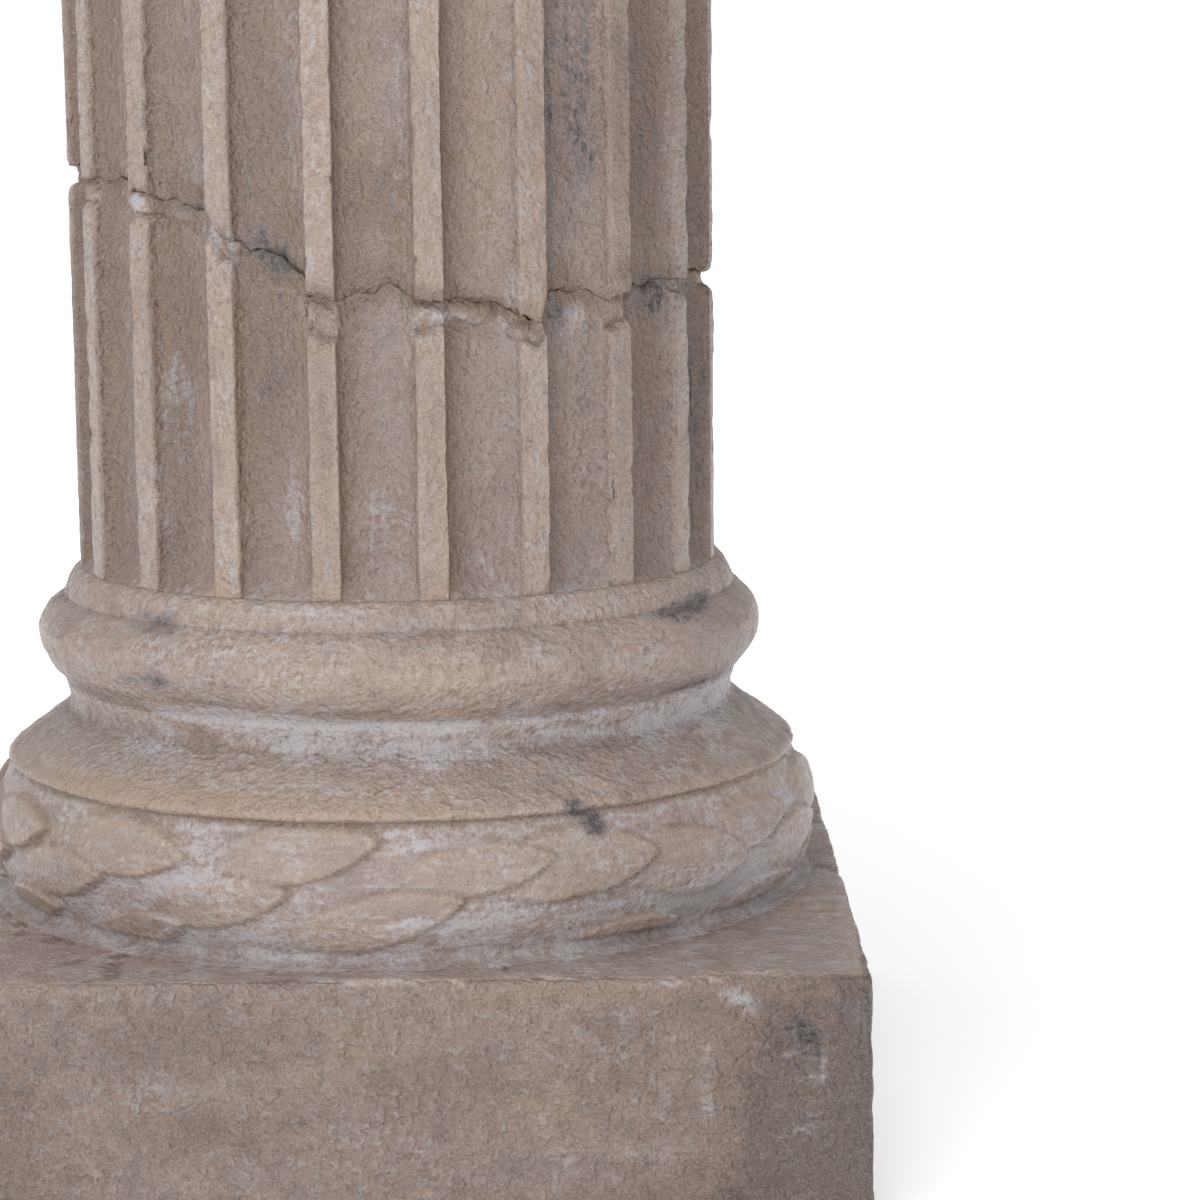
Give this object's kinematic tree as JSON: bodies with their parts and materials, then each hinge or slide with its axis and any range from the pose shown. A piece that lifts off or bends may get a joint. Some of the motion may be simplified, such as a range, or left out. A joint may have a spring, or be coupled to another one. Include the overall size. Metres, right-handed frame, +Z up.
{
  "type": "decorative pillar",
  "caption": "Fluted decorative pillar on a square plinth, with a laurel-carved base roll, a ragged break round its shaft and a plain square cap that carries an ornament.",
  "frame": {"origin": "centre of the plinth's underside", "axes": "+Z up along the shaft; the plinth's sides lie along X and Y; the front faces -Y"},
  "size_m": [0.4, 0.4, 1],
  "materials": {
    "base_stone": "aged painted stone, dappled ochre, rose and grey, soft sheen",
    "shaft_stone": "aged painted stone, peach fillets and grey-brown flutes, soft sheen"
  },
  "bodies": {
    "root": {"base": "base_stone", "shaft_lower": "shaft_stone", "shaft_upper": "shaft_stone", "cap": "base_stone"}
  },
  "joints": []
}
